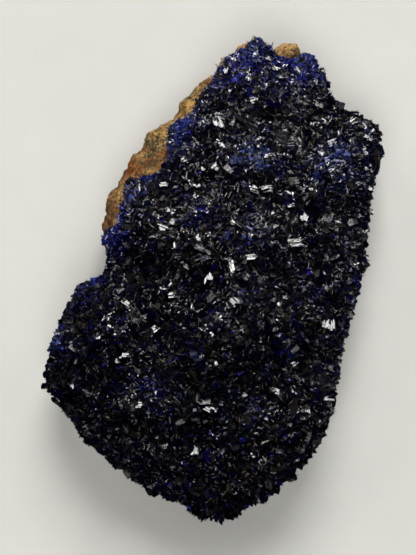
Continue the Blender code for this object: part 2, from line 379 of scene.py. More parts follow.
class RockSettings(bpy.types.PropertyGroup):
    """Sizes and colours of the limonite."""

    skin_voxel: bpy.props.FloatProperty(
        name="Skin grain",
        description="Grain of the rock's modelled skin",
        default=0.17 * MM,
        min=0.1 * MM,
        precision=5,
        unit="LENGTH",
    )
    lump_depth: bpy.props.FloatProperty(
        name="Lump depth",
        description="Depth of the rock's lumps",
        default=0.3 * MM,
        min=0.0,
        precision=5,
        unit="LENGTH",
    )
    ochre: bpy.props.FloatVectorProperty(
        name="Ochre",
        description="Light colour of the rock",
        subtype="COLOR",
        default=(0.45, 0.26, 0.075),
    )
    rust: bpy.props.FloatVectorProperty(
        name="Rust",
        description="Red-brown of the rock",
        subtype="COLOR",
        default=(0.2, 0.07, 0.014),
    )
    tan: bpy.props.FloatVectorProperty(
        name="Tan",
        description="Greyish tan of the rock",
        subtype="COLOR",
        default=(0.24, 0.15, 0.06),
    )


class StageSettings(bpy.types.PropertyGroup):
    """The table, its light and the camera."""

    lens: bpy.props.FloatProperty(
        name="Lens",
        description="Focal length of the camera",
        default=100.0,
        min=20.0,
        unit="CAMERA",
    )
    picture_height: bpy.props.FloatProperty(
        name="Picture height",
        description="What the picture's long side spans where the crust is widest",
        default=38.85 * MM,
        min=1.0 * MM,
        precision=5,
        unit="LENGTH",
    )
    key_radiance: bpy.props.FloatProperty(
        name="Key light",
        description="Brightness of the main soft light",
        default=22.0,
        min=0.0,
    )
    floor_colour: bpy.props.FloatVectorProperty(
        name="Table",
        description="Colour of the table",
        subtype="COLOR",
        default=(0.38, 0.379, 0.362),
    )


# --- common steps ---------------------------------------------------------------------------------


def deselect_all():
    if bpy.context.object and bpy.context.object.mode != "OBJECT":
        bpy.ops.object.mode_set(mode="OBJECT")
    bpy.ops.object.select_all(action="DESELECT")


def activate(obj):
    deselect_all()
    obj.select_set(True)
    bpy.context.view_layer.objects.active = obj


def add_modifier(obj, kind, **values):
    modifier = obj.modifiers.new(kind.lower(), kind)
    for name, value in values.items():
        setattr(modifier, name, value)


def node_copy(node, name):
    """A welded copy of a node's solid, as an object of its own."""
    bm = bmesh.new()
    bm.from_mesh(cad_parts[node].data)
    bmesh.ops.remove_doubles(bm, verts=bm.verts, dist=0.001 * MM)
    mesh = bpy.data.meshes.new(name)
    bm.to_mesh(mesh)
    bm.free()
    obj = bpy.data.objects.new(name, mesh)
    bpy.context.scene.collection.objects.link(obj)
    return obj


def rough_skin(node, name, voxel, smoothing, layers):
    """A node's solid as one even skin, smoothed, and roughened by layers of texture.

    The voxel is in metres. A layer is a name, a kind of texture, the size of its grains, its depth,
    and the value of the texture that leaves the skin where it is.
    """
    skin = node_copy(node, name)
    add_modifier(skin, "REMESH", mode="VOXEL", voxel_size=voxel)
    add_modifier(skin, "SMOOTH", factor=0.5, iterations=smoothing)
    for layer, kind, size, depth, middle in layers:
        texture = bpy.data.textures.new(layer, kind)
        texture.noise_scale = size * MM
        values = {"texture": texture, "texture_coords": "LOCAL"}
        add_modifier(skin, "DISPLACE", strength=depth * MM, mid_level=middle, **values)
    activate(skin)
    for modifier in list(skin.modifiers):
        bpy.ops.object.modifier_apply(modifier=modifier.name)
    return skin


def mesh_array(obj, name):
    """One vector of each vertex, as rows."""
    values = np.empty(len(obj.data.vertices) * 3)
    obj.data.vertices.foreach_get(name, values)
    return values.reshape(-1, 3)


def nearness(points, x, y, radius):
    """1 at a place seen from above, falling off over the radius."""
    away = (points[:, 0] / MM - x) ** 2 + (points[:, 1] / MM - y) ** 2
    return np.exp(-away / radius**2)


def swell(obj, spots, pushes=()):
    """Moves the sides of a skin out or in near each spot, and all of it near each push."""
    points = mesh_array(obj, "co")
    outward = mesh_array(obj, "normal") * (1, 1, 0)
    moves = np.zeros_like(points)
    for x, y, radius, distance in spots:
        moves += outward * (distance * nearness(points, x, y, radius))[:, None]
    for x, y, radius, along_x, along_y in pushes:
        moves += np.outer(nearness(points, x, y, radius), (along_x, along_y, 0))
    obj.data.vertices.foreach_set("co", (points + moves * MM).ravel())
    obj.data.update()


def smooth_shade(obj, angle):
    activate(obj)
    bpy.ops.object.shade_smooth_by_angle(angle=math.radians(angle))


def finish_piece(obj, material):
    """Gives a finished piece its material and its place in the frame."""
    obj.data.materials.clear()
    obj.data.materials.append(material)
    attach(obj, "root")


# --- node materials -------------------------------------------------------------------------------


class Nodes:
    """Builds a tree of shader nodes, one node after another."""

    def __init__(self, tree):
        self.tree = tree

    def node(self, kind, inputs=None, **values):
        made = self.tree.nodes.new(kind)
        for name, value in values.items():
            setattr(made, name, value)
        for name, value in (inputs or {}).items():
            self.feed(made.inputs[name], value)
        return made

    def feed(self, socket, value):
        if isinstance(value, bpy.types.NodeSocket):
            self.tree.links.new(value, socket)
        elif hasattr(value, "__len__") and len(value) == 3 and socket.type == "RGBA":
            socket.default_value = (*value, 1.0)
        else:
            socket.default_value = value

    def maths(self, operation, first, second, clamp=False):
        inputs = {0: first, 1: second}
        made = self.node("ShaderNodeMath", inputs, operation=operation, use_clamp=clamp)
        return made.outputs[0]

    def spread(self, value, low, high, to_low=0.0, to_high=1.0):
        """The value, with low to high spread over to_low to to_high."""
        inputs = {"Value": value, "From Min": low, "From Max": high}
        inputs.update({"To Min": to_low, "To Max": to_high})
        return self.node("ShaderNodeMapRange", inputs).outputs[0]

    def ramp(self, value, steps):
        made = self.node("ShaderNodeValToRGB", {"Fac": value})
        elements = made.color_ramp.elements
        while len(elements) < len(steps):
            elements.new(0.5)
        for element, (position, colour) in zip(elements, steps):
            element.position = position
            element.color = (*colour, 1.0)
        return made.outputs["Color"]

    def mix(self, factor, first, second):
        made = self.node("ShaderNodeMix", data_type="RGBA")
        self.feed(made.inputs["Factor"], factor)
        self.feed(made.inputs[6], first)
        self.feed(made.inputs[7], second)
        return made.outputs[2]


class Shader(Nodes):
    """A Principled material that is built node by node."""

    def __init__(self, name, **sockets):
        self.material = bpy.data.materials.new(name)
        self.material.use_nodes = True
        super().__init__(self.material.node_tree)
        self.principled = self.tree.nodes["Principled BSDF"]
        self.place = self.node("ShaderNodeTexCoord").outputs["Object"]
        self.set(**sockets)

    def set(self, **sockets):
        """Sets the shader's own sockets, or links nodes to them."""
        for socket, value in sockets.items():
            self.feed(self.principled.inputs[socket.replace("_", " ")], value)
        return self.material

    def attribute(self, name):
        return self.node("ShaderNodeAttribute", attribute_name=name).outputs["Fac"]

    def noise(self, size, detail=3.0, roughness=0.5, offset=0.0):
        """Noise with grains of about this size, from 0 to 1."""
        offsets = {"Vector": self.place, "Location": (offset * MM,) * 3}
        moved = self.node("ShaderNodeMapping", offsets).outputs[0]
        inputs = {"Vector": moved, "Scale": 1 / (size * MM), "Detail": detail}
        inputs["Roughness"] = roughness
        return self.node("ShaderNodeTexNoise", inputs).outputs["Fac"]

    def near(self, point, radius):
        """1 around a point of the object, falling to 0 at the radius."""
        inputs = {0: self.place, 1: tuple(c * MM for c in point)}
        away = self.node("ShaderNodeVectorMath", inputs, operation="DISTANCE").outputs["Value"]
        return self.spread(away, radius * MM, 0.4 * radius * MM)

    def tinted(self, colour, tint, where, share=1.0):
        """The colour with a share of the tint mixed in, where a value is high."""
        return self.mix(self.maths("MULTIPLY", where, share), colour, tint)

    def bump(self, height, depth, strength=1.0, normal=None):
        inputs = {"Height": height, "Distance": depth * MM, "Strength": strength}
        if normal:
            inputs["Normal"] = normal
        return self.node("ShaderNodeBump", inputs).outputs["Normal"]


def azurite_material(name):
    """Dark crystals with lines along them, each with a tone that is partly its own and partly
    painted blue light, and some dusted with brown.
    """
    if name in bpy.data.materials:
        return bpy.data.materials[name]
    shader = Shader(name, IOR=1.6, Metallic=0.0, Specular_IOR_Level=SHINE[name])
    own_and_painted_tone = shader.attribute("tone")
    dust = shader.attribute("dust")
    clouds = shader.spread(shader.noise(0.13, offset=3.0), 0.3, 0.7, -0.2, 0.2)
    tone = shader.maths("ADD", own_and_painted_tone, clouds, clamp=True)
    grain = shader.spread(shader.noise(0.4, detail=2.0, offset=15.0), 0.35, 0.55, 0.2, 1.0)
    steel = shader.maths("MULTIPLY", shader.attribute("steel"), grain)
    colour = shader.mix(steel, shader.ramp(tone, TONE_STEPS), shader.ramp(tone, STEEL_STEPS))
    colour = shader.mix(dust, colour, shader.ramp(dust, DUST_STEPS))
    roughness = shader.spread(shader.noise(0.35, offset=9.0), 0.35, 0.7, 0.04, 0.15)
    across = shader.maths("MULTIPLY", shader.attribute("across"), 1 / LINE_WIDTH)
    start = shader.maths("MULTIPLY", own_and_painted_tone, 97.0)  # a different set of lines on each crystal
    inputs = {"W": shader.maths("ADD", across, start), "Detail": 2.0}
    lines = shader.node("ShaderNodeTexNoise", inputs, noise_dimensions="1D").outputs[0]
    relief = shader.bump(lines, LINE_DEPTH, strength=0.5)
    relief = shader.bump(shader.noise(0.2), 0.02, normal=relief)
    return shader.set(Base_Color=colour, Roughness=roughness, Normal=relief)


def limonite_material(settings):
    """Earthy brown rock: ochre, tan and rust in clouds, dark specks, and a pale knob."""
    shader = Shader("earthy limonite", Metallic=0.0, IOR=1.5, Specular_IOR_Level=0.2)
    clouds = shader.spread(shader.noise(2.0, detail=4.0), 0.42, 0.58)
    colour = shader.mix(clouds, tuple(settings.tan), tuple(settings.ochre))
    rusty = shader.spread(shader.noise(1.5, detail=4.0, offset=11.0), 0.48, 0.6)
    colour = shader.mix(rusty, colour, tuple(settings.rust))
    for point, radius, share, tint in ROCK_TINTS:
        colour = shader.tinted(colour, tint, shader.near(point, radius), share)
    olive = shader.spread(shader.noise(0.9, offset=21.0), 0.52, 0.66)
    colour = shader.tinted(colour, ROCK_OLIVE, olive, 0.8)
    grain = shader.spread(shader.noise(0.13, detail=2.0, roughness=0.7), 0.35, 0.65)
    colour = shader.tinted(colour, ROCK_GRAIN, grain, 0.75)
    specks = shader.spread(shader.noise(0.3, detail=2.0, offset=5.0), 0.58, 0.64)
    more = shader.maths("MULTIPLY", shader.near(*SPECKLED), 0.19)
    more = shader.maths("ADD", shader.noise(0.22, detail=2.0, offset=7.0), more)
    specks = shader.maths("MAXIMUM", specks, shader.spread(more, 0.6, 0.64))
    colour = shader.tinted(colour, ROCK_SPECKS, specks, 0.85)
    relief = shader.bump(shader.noise(0.14, detail=4.0, roughness=0.7), 0.13)
    roughness = shader.spread(grain, 0.0, 1.0, 0.9, 0.6)
    return shader.set(Base_Color=colour, Roughness=roughness, Normal=relief)


# --- one crystal ----------------------------------------------------------------------------------


def cut_off(point, normal):
    """Edit mode: cuts everything off past a plane and closes the cut with one flat face."""
    bpy.ops.mesh.select_all(action="SELECT")
    bpy.ops.mesh.bisect(plane_co=point, plane_no=normal, use_fill=True, clear_outer=True)


def select_upright_edges(obj):
    bpy.ops.mesh.select_all(action="DESELECT")
    bpy.ops.mesh.select_mode(type="EDGE")
    bm = bmesh.from_edit_mesh(obj.data)
    for edge in bm.edges:
        along = edge.verts[0].co - edge.verts[1].co
        edge.select = abs(along.z) > 0.9 * along.length
    bmesh.update_edit_mesh(obj.data)


def model_crystal(*cuts, bevel=0.0, sides=4, radius=0.62):
    """Models one crystal and returns its vertices and triangles.

    It starts as a block of unit size around the origin, or as a prism of more or fewer sides. A cut
    is a point of its plane, and the way to the side that is cut off.
    """
    deselect_all()
    if sides == 4:
        bpy.ops.mesh.primitive_cube_add(size=1.0)
    else:
        bpy.ops.mesh.primitive_cylinder_add(vertices=sides, radius=radius, depth=1.0)
    crystal = bpy.context.object
    bpy.ops.object.mode_set(mode="EDIT")
    if bevel:
        select_upright_edges(crystal)
        bpy.ops.mesh.bevel(offset=bevel, affect="EDGES")
    for point, normal in cuts:
        cut_off(point, normal)
    bpy.ops.mesh.select_all(action="SELECT")
    bpy.ops.mesh.quads_convert_to_tris()
    bpy.ops.mesh.normals_make_consistent(inside=False)
    bpy.ops.object.mode_set(mode="OBJECT")
    points = np.array([vertex.co for vertex in crystal.data.vertices])
    triangles = []
    for polygon in crystal.data.polygons:
        corners = list(polygon.vertices)
        first = corners.index(min(corners))
        triangles.append(corners[first:] + corners[:first])
    bpy.data.objects.remove(crystal, do_unlink=True)
    return points, np.array(sorted(triangles))  # sorted, because a bevel's own order varies


def crystal_shapes():
    """The habits of azurite: chisels, spears, slanted tables and blocks."""
    return (
        model_crystal(((0.1, 0, 0.5), (0.35, 0, 1)), ((0, 0.3, 0.4), (0, 1, 0.5))),
        model_crystal(((0, 0, 0.5), (0.7, 0, 1)), ((0, 0, 0.5), (-0.9, 0, 1)), bevel=0.12),
        model_crystal(((0, 0, 0.42), (0.25, 0.5, 1))),
        model_crystal(((0, 0.1, 0.5), (0, 1, 0.8)), ((0, -0.1, 0.5), (0, -1, 0.8))),
        model_crystal(((0, 0, 0.45), (-0.3, 0.3, 1)), ((0.4, 0.3, 0.4), (1, 0.6, 0.7))),
        model_crystal(((0.2, 0, 0.45), (1, 0.2, 0.6)), ((-0.3, 0, 0.5), (-0.5, 0.3, 1))),
    )


def fine_shapes():
    """Plainer habits for the small crystals between: a slanted block and two slanted splinters."""
    return (
        model_crystal(((0, 0, 0.1), (0.5, 0.2, 1))),
        model_crystal(((0, 0, 0.1), (-0.3, 0.35, 1)), sides=3),
        model_crystal(((0, 0, 0), (0.8, 0.1, 1)), sides=3),
    )


# --- where crystals grow --------------------------------------------------------------------------


def normalized(vectors):
    return vectors / np.linalg.norm(vectors, axis=-1, keepdims=True)


def spaced_out(points, spacing):
    """Indices of points of which no two are nearer than the spacing."""
    tree = KDTree(len(points))
    for index, point in enumerate(points):
        tree.insert(point, index)
    tree.balance()
    free = np.ones(len(points), bool)
    kept = []
    for index, point in enumerate(points):
        if free[index]:
            kept.append(index)
            for _, other, _ in tree.find_range(point, spacing * MM):
                free[other] = False
    return np.array(kept)


def rock_tree():
    rock = node_copy(ROCK_NODE, "rock_probe")
    tree = BVHTree.FromObject(rock, bpy.context.evaluated_depsgraph_get())
    bpy.data.objects.remove(rock, do_unlink=True)
    return tree


class Skin:
    """The outside of the crust, where crystals grow, as triangles with their normals."""

    ROCK_SIGHT = 1.6  # a face that looks at the rock within this distance is inside the crust
    CROWDING = 6  # how many points are tried for each square of the spacing
    LEAST_AREA = 1e-20  # in square metres, so that nothing is divided by zero

    def __init__(self, obj):
        mesh = obj.data
        mesh.calc_loop_triangles()
        triangles = np.empty(len(mesh.loop_triangles) * 3, int)
        mesh.loop_triangles.foreach_get("vertices", triangles)
        corners = mesh_array(obj, "co")[triangles.reshape(-1, 3)]
        cross = np.cross(corners[:, 1] - corners[:, 0], corners[:, 2] - corners[:, 0])
        length = np.linalg.norm(cross, axis=1)
        normals = cross / np.maximum(length, self.LEAST_AREA)[:, None]
        middles = corners.mean(axis=1)
        rock = rock_tree()
        outside = np.array([self.sees_no_rock(rock, m, n) for m, n in zip(middles, normals)])
        self.corners = corners[outside]
        self.normals = normals[outside]
        self.areas = length[outside] / 2

    def sees_no_rock(self, rock, middle, normal):
        start = Vector(middle)
        return rock.ray_cast(start, Vector(normal), self.ROCK_SIGHT * MM)[0] is None

    def scatter(self, spacing, rng):
        """Points at least the spacing apart, spread evenly, and the skin's normals there."""
        count = int(self.CROWDING * self.areas.sum() / (spacing * MM) ** 2)
        chosen = rng.choice(len(self.areas), size=count, p=self.areas / self.areas.sum())
        u, v = np.sort(rng.random((2, count)), axis=0)
        weights = np.stack((u, v - u, 1 - v), axis=1)
        points = np.einsum("nk,nkc->nc", weights, self.corners[chosen])
        kept = spaced_out(points, spacing)
        return points[kept], self.normals[chosen[kept]]


def shaded_spot_depth(points):
    """How deep each point lies in a spot of painted shade, from 0 to 1."""
    return np.max([nearness(points, *hollow) for hollow in SHADED_DUSTY_SPOTS], axis=0)


def side_share(normals):
    """A column that is 1 on the crust's upright sides and 0 on its face."""
    return np.clip(1 - normals[:, 2:] / SIDE_SLOPE, 0, 1)


def steelness(points):
    """How far the blue turns to steel at each point, from 0 to 1."""
    plain = np.ones(len(points))
    for patch in STEEL_PATCHES:
        plain *= 1 - nearness(points, *patch)
    return 1 - plain


def blueness_and_painted_light(points, normals):
    """How blue each point is: face patches, partly painted rim light, and waves of painted fill
    light round its sides.
    """
    x, y = points[:, 0] / MM, points[:, 1] / MM
    waves = 0.5 + 0.5 * np.sin(1.3 * x) * np.cos(0.9 * y)
    blue_and_lit = SIDE_PAINTED_FILL_BLUE * waves * side_share(normals)[:, 0]
    for *patch, strength in BLUE_AND_BACKLIT_PATCHES:
        blue_and_lit += strength * nearness(points, *patch)
    return blue_and_lit


def dusted(points, share, low, high, rng):
    """The dust on each crystal: none on most, and from low to high on a share of them, a larger
    share in the spots of painted shade.
    """
    dusty = rng.random(len(points)) < share + SHADED_SPOT_DUST * shaded_spot_depth(points)
    return np.where(dusty, rng.uniform(low, high, len(points)), 0.0)


def growth_axes(points, normals, lean, family_size, loyalty, rng):
    """Width, thickness and length directions of each crystal.

    The loyal ones of a family, which is as wide as family_size, grow nearly parallel.
    """
    own_lean, own_turn = 0.18, 0.15  # how far the loyal ones still go their own way
    leaders = spaced_out(points, family_size)
    tree = KDTree(len(leaders))
    for number, leader in enumerate(leaders):
        tree.insert(points[leader], number)
    tree.balance()
    family = np.array([tree.find(point)[1] for point in points])
    low = np.clip((LOW_END - points[:, 1] / MM) / LOW_REACH, 0, 1)
    low *= np.clip(2 * normals[:, 2] - 0.9, 0, 1)
    normals = normals + np.outer(low, LOW_TILT)
    calm = np.maximum(low, shaded_spot_depth(points))
    lean = lean * (1 - CALM * calm)[:, None]
    own = rng.normal(size=points.shape)
    shared = rng.normal(size=(len(leaders), 3))[family]
    loyal = (rng.random(len(points)) < loyalty)[:, None]
    length = normalized(normals + lean * np.where(loyal, shared + own_lean * own, own))
    own_side = rng.normal(size=points.shape)
    shared_side = rng.normal(size=(len(leaders), 3))[family]
    side = np.where(loyal, shared_side + own_turn * own_side, own_side)
    width = normalized(np.cross(side, length))
    return width, np.cross(length, width), length


def nudged(axes, amount, rng):
    """The same axes, each crystal's turned a little its own way."""
    _, thickness, length = axes
    length = normalized(length + amount * rng.normal(size=length.shape))
    width = normalized(np.cross(thickness + amount * rng.normal(size=length.shape), length))
    return [width, np.cross(length, width), length]


# --- many crystals in one mesh --------------------------------------------------------------------


class Blades:
    """Crystals as arrays: middles and sizes in metres, axes, shape numbers, tones and dust."""

    def __init__(self, middles, axes, sizes, which, tone, dust):
        self.middles = middles
        self.axes = axes
        self.sizes = sizes
        self.which = which
        self.tone = tone
        self.dust = dust

    def some(self, chosen):
        arrays = (self.sizes, self.which, self.tone, self.dust)
        axes = [axis[chosen] for axis in self.axes]
        return Blades(self.middles[chosen], axes, *(array[chosen] for array in arrays))

    def tanned(self):
        """These blades, tan where the crust thins out."""
        for x, y, radius in TAN_SPOTS:
            away = np.hypot(self.middles[:, 0] / MM - x, self.middles[:, 1] / MM - y)
            self.dust = np.where(away < radius, 1.0, self.dust)
        return self

    def clear_of(self, spots):
        """These blades without those that reach into the spots."""
        clear = np.ones(len(self.tone), bool)
        half = self.axes[2] * self.sizes[:, 2:] / 2
        for place in (self.middles - half, self.middles, self.middles + half):
            for x, y, radius in spots:
                clear &= np.hypot(place[:, 0] / MM - x, place[:, 1] / MM - y) > radius
        return self.some(np.flatnonzero(clear))

    def stacked(self, chance, rng):
        """These blades and, on the broad face of some of them, a smaller one that is parallel."""
        extra = self.some(np.flatnonzero(rng.random(len(self.tone)) < chance))
        count = len(extra.tone)
        face = rng.choice((-1.0, 1.0), count)
        across = rng.uniform(-0.3, 0.3, count)
        out = face * rng.uniform(0.5, 0.9, count)
        along = rng.uniform(-0.3, 0.02, count)
        moves = np.stack((across, out, along), axis=1) * extra.sizes
        extra.middles = extra.middles + sum(moves[:, k, None] * extra.axes[k] for k in range(3))
        extra.sizes = extra.sizes * rng.uniform((0.5, 0.6, 0.7), (0.95, 1.0, 1.0), (count, 3))
        extra.tone = np.clip(extra.tone + rng.normal(0, 0.08, count), 0, 1)
        extra.axes = nudged(extra.axes, 0.05, rng)
        return joined(self, extra)


def joined(first, second):
    def both(name):
        return np.concatenate((getattr(first, name), getattr(second, name)))

    axes = [np.concatenate(pair) for pair in zip(first.axes, second.axes)]
    return Blades(both("middles"), axes, *map(both, ("sizes", "which", "tone", "dust")))


def build_blades(name, shapes, blades, material, line_share=1.0):
    """Makes one flat-shaded mesh of all the blades, with their looks as attributes."""
    all_points, all_triangles, all_looks = [], [], []
    count = 0
    for number, (points, triangles) in enumerate(shapes):
        mine = blades.some(np.flatnonzero(blades.which == number))
        scaled = points[None] * mine.sizes[:, None, :]
        placed = sum(scaled[..., k, None] * mine.axes[k][:, None, :] for k in range(3))
        placed += mine.middles[:, None, :]
        shifts = count + len(points) * np.arange(len(mine.tone))
        all_points.append(placed.reshape(-1, 3))
        all_triangles.append((triangles[None] + shifts[:, None, None]).reshape(-1, 3))
        looks = (mine.tone, mine.dust, steelness(mine.middles))
        looks = [np.repeat(values, len(points)) for values in looks]
        across = line_share * (scaled[..., 0].reshape(-1) / MM)
        all_looks.append(np.stack((*looks, across)))
        count += len(points) * len(mine.tone)
    points = np.concatenate(all_points)
    triangles = np.concatenate(all_triangles)
    mesh = bpy.data.meshes.new(name)
    mesh.vertices.add(len(points))
    mesh.vertices.foreach_set("co", points.ravel())
    mesh.loops.add(triangles.size)
    mesh.loops.foreach_set("vertex_index", triangles.ravel())
    mesh.polygons.add(len(triangles))
    mesh.polygons.foreach_set("loop_start", np.arange(0, triangles.size, 3))
    mesh.update(calc_edges=True)
    mesh.validate()
    looks = np.concatenate(all_looks, axis=1)
    for label, values in zip(("tone", "dust", "steel", "across"), looks):
        mesh.attributes.new(label, "FLOAT", "POINT").data.foreach_set("value", values)
    mesh.shade_flat()
    obj = bpy.data.objects.new(name, mesh)
    bpy.context.scene.collection.objects.link(obj)
    finish_piece(obj, azurite_material(material))


def build_in_parts(name, shapes, blades, parts, rng):
    """Makes the glassy blades as several meshes, one for each band of the slab's length.

    The dull ones are one mesh of their own. The deeper in a spot of painted shade, the more blades
    are dull.
    """
    share = np.interp(shaded_spot_depth(blades.middles), DULL_DEPTHS, (0, 1))
    dull = (rng.random(len(share)) < share) | (blades.dust > DULL_DUST)
    build_blades(f"{name}_dull", shapes, blades.some(np.flatnonzero(dull)), DULL)
    glassy = blades.some(np.flatnonzero(~dull))
    order = np.argsort(glassy.middles[:, 1])
    for number, chosen in enumerate(np.array_split(order, parts)):
        build_blades(f"{name}_{number + 1}", shapes, glassy.some(chosen), GLASSY)


# --- light ----------------------------------------------------------------------------------------


def light_direction(azimuth, elevation):
    """Azimuth 0 is over +Y, 90 over +X."""
    azimuth, elevation = math.radians(azimuth), math.radians(elevation)
    flat = math.cos(elevation)
    return Vector((math.sin(azimuth) * flat, math.cos(azimuth) * flat, math.sin(elevation)))


def soft_light(name, azimuth, elevation, size, radiance, colour):
    """A square light that looks at the specimen."""
    place = light_direction(azimuth, elevation) * LIGHT_DISTANCE
    light = bpy.data.lights.new(name, "AREA")
    light.shape = "SQUARE"
    light.size = size
    light.energy = radiance * math.pi * size**2
    light.color = colour
    obj = bpy.data.objects.new(name, light)
    obj.location = place
    obj.rotation_euler = (-place).to_track_quat("-Z", "Y").to_euler()
    bpy.context.scene.collection.objects.link(obj)
    return obj


def light_room():
    """A world that is bright near the horizon, most of all over +Y, and dark overhead and below."""
    world = bpy.data.worlds.new("soft room")
    world.use_nodes = True
    nodes = Nodes(world.node_tree)
    direction = nodes.node("ShaderNodeTexCoord").outputs["Generated"]
    parts = nodes.node("ShaderNodeSeparateXYZ", {0: direction}).outputs
    height = nodes.spread(parts["Z"], -1.0, 1.0)
    steps = [((height_step + 1) / 2, colour) for height_step, colour in ROOM_STEPS]
    background = world.node_tree.nodes["Background"]
    nodes.feed(background.inputs["Color"], nodes.ramp(height, steps))
    nodes.feed(background.inputs["Strength"], nodes.spread(parts["Y"], -0.3, 0.7, 0.04, 1.0))
    bpy.context.scene.world = world


# --- operators ------------------------------------------------------------------------------------


class AZURITE_OT_crust_skin(bpy.types.Operator):
    """Model the skin of the crust, which the crystals stand on"""

    bl_idname = "azurite.crust_skin"
    bl_label = "Crust skin"

    LAYERS = (
        ("crust lumps", "CLOUDS", 1.15, 0.75, 0.68),
        ("crust grain", "CLOUDS", 0.35, 0.2, 0.5),
    )

    def execute(self, context):
        voxel = context.scene.azurite_crust.skin_voxel
        skin = rough_skin(CRUST_NODE, "azurite_crust_skin", voxel, 8, self.LAYERS)
        swell(skin, CRUST_SWELLS, CRUST_PUSHES)
        smooth_shade(skin, 30)
        finish_piece(skin, azurite_material(GLASSY))
        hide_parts(CRUST_NODE)
        return {"FINISHED"}


class AZURITE_OT_crystals(bpy.types.Operator):
    """Grow the larger blades all over the outside of the crust"""

    bl_idname = "azurite.crystals"
    bl_label = "Crystals"

    FAMILY = (0.95, 0.6)  # size of a family, and the share of loyal ones
    LENGTHS = (0.34, -0.8, 0.6)  # deviation, least and most of the length's logarithm
    WIDTHS = (0.4, 0.85)  # as shares of the length
    THICKNESSES = (0.2, 0.55)  # as shares of the width
    HEIGHTS = (-0.1, 0.2)  # of the middle above the skin, as shares of the length
    TONES = (0.25, 0.16)  # middle and deviation
    BLUE_TONE = 1.15  # how much the blue patches and the painted light add to the tone, at most
    DUST = (0.14, 0.2, 0.7)  # the share that is dusty, and the least and most dust on it
    TOP = 12.5  # blades further along the slab than this are smaller
    TOP_SIZE = 0.8
    SIDE_CUT = 0.3  # how much shorter they are on the crust's sides, as a share
    BLUE_CUT = 0.45  # and how much shorter in the blue patches
    SIDE_SINK = 0.07  # how much deeper they stand on the crust's sides
    STACKED = (0.6, 0.4)  # how many carry a second blade, and how many of all those a third

    def execute(self, context):
        settings = context.scene.azurite_crust
        rng = np.random.default_rng(settings.seed)
        skin = Skin(bpy.data.objects["azurite_crust_skin"])
        points, normals = skin.scatter(settings.spacing / MM, rng)
        axes = growth_axes(points, normals, settings.lean, *self.FAMILY, rng)
        count = len(points)
        deviation, least, most = self.LENGTHS
        growth = np.exp(np.clip(rng.normal(0, deviation, count), least, most))
        length = settings.blade_length / MM * growth
        length *= np.where(points[:, 1] > self.TOP * MM, self.TOP_SIZE, 1.0)
        length *= 1 - self.SIDE_CUT * side_share(normals)[:, 0]
        blue_and_lit = blueness_and_painted_light(points, normals)
        length *= 1 - self.BLUE_CUT * np.clip(blue_and_lit, 0, 1)
        width = length * rng.uniform(*self.WIDTHS, count)
        thickness = width * rng.uniform(*self.THICKNESSES, count)
        sizes = np.stack((width, thickness, length), axis=1) * MM
        height = rng.uniform(*self.HEIGHTS, (count, 1))
        middles = points + axes[2] * length[:, None] * height * MM
        middles -= normals * side_share(normals) * self.SIDE_SINK * MM
        # The blue is partly the crystals' own and partly painted light: at the lit rims and on the
        # sides
        tone = rng.normal(*self.TONES, count) + blue_and_lit * rng.uniform(0.0, self.BLUE_TONE, count)
        tone = np.clip(tone, 0, 1) * np.clip(1.3 - 0.7 * length, 0.6, 1.0)  # long ones are darker
        dust = dusted(points, *self.DUST, rng)
        shapes = crystal_shapes()
        which = rng.integers(len(shapes), size=count)
        blades = Blades(middles, axes, sizes, which, tone, dust)
        for chance in self.STACKED:
            blades = blades.stacked(chance, rng)
        blades = blades.clear_of(BARE_SPOTS + TAN_SPOTS)
        build_in_parts("azurite_crystals", shapes, blades, 2, rng)
        return {"FINISHED"}


class AZURITE_OT_fine_crystals(bpy.types.Operator):
    """Fill the gaps between the larger crystals with fine ones"""

    bl_idname = "azurite.fine_crystals"
    bl_label = "Fine crystals"

    FAMILY = (0.6, 0.4)  # size of a family, and the share of loyal ones
    MORE_LEAN = 1.2  # than the larger blades have, as a factor
    SPREAD = 0.3  # deviation of the length's logarithm
    WIDTHS = (0.15, 0.48)  # as shares of the length, and up to double on the crust's sides
    THICKNESSES = (0.3, 0.8)  # as shares of the width
    HEIGHTS = (0.0, 0.45)  # of the middle above the skin, as shares of the length
    TONES = (0.25, 0.18)  # middle and deviation
    BLUE_TONE = 1.2  # how much the blue patches and the painted light add to the tone, at most
    DUST = (0.3, 0.2, 0.8)  # the share that is dusty, and the least and most dust on it
    SIDE_CUT = 0.42  # how much shorter they are on the crust's sides, as a share
    SPARKS = 0.008  # how many are of the brightest blue, as a share

    def execute(self, context):
        settings = context.scene.azurite_crust
        rng = np.random.default_rng(settings.seed + 1)
        skin = Skin(bpy.data.objects["azurite_crust_skin"])
        points, normals = skin.scatter(settings.fine_spacing / MM, rng)
        lean = settings.lean * self.MORE_LEAN
        axes = growth_axes(points, normals, lean, *self.FAMILY, rng)
        count = len(points)
        on_side = side_share(normals)[:, 0]
        length = settings.fine_length / MM * np.exp(rng.normal(0, self.SPREAD, count))
        length *= 1 - self.SIDE_CUT * on_side
        width = length * rng.uniform(*self.WIDTHS, count) * (1 + on_side)
        thickness = width * rng.uniform(*self.THICKNESSES, count)
        sizes = np.stack((width, thickness, length), axis=1) * MM
        height = rng.uniform(*self.HEIGHTS, (count, 1))
        middles = points + axes[2] * length[:, None] * height * MM
        blue_and_lit = blueness_and_painted_light(points, normals)
        # The blue is partly the crystals' own and partly painted light: at the lit rims and on the
        # sides
        tone = rng.normal(*self.TONES, count) + blue_and_lit * rng.uniform(0.0, self.BLUE_TONE, count)
        tone = np.clip(tone, 0, 1)
        dust = dusted(points, *self.DUST, rng)
        shapes = fine_shapes()
        which = rng.integers(len(shapes), size=count)
        sparks = rng.random(count) < self.SPARKS
        tone[sparks] = 1.0
        dust[sparks] = 0.0
        blades = Blades(middles, axes, sizes, which, tone, dust).clear_of(BARE_SPOTS).tanned()
        build_in_parts("azurite_fine_crystals", shapes, blades, 2, rng)
        return {"FINISHED"}


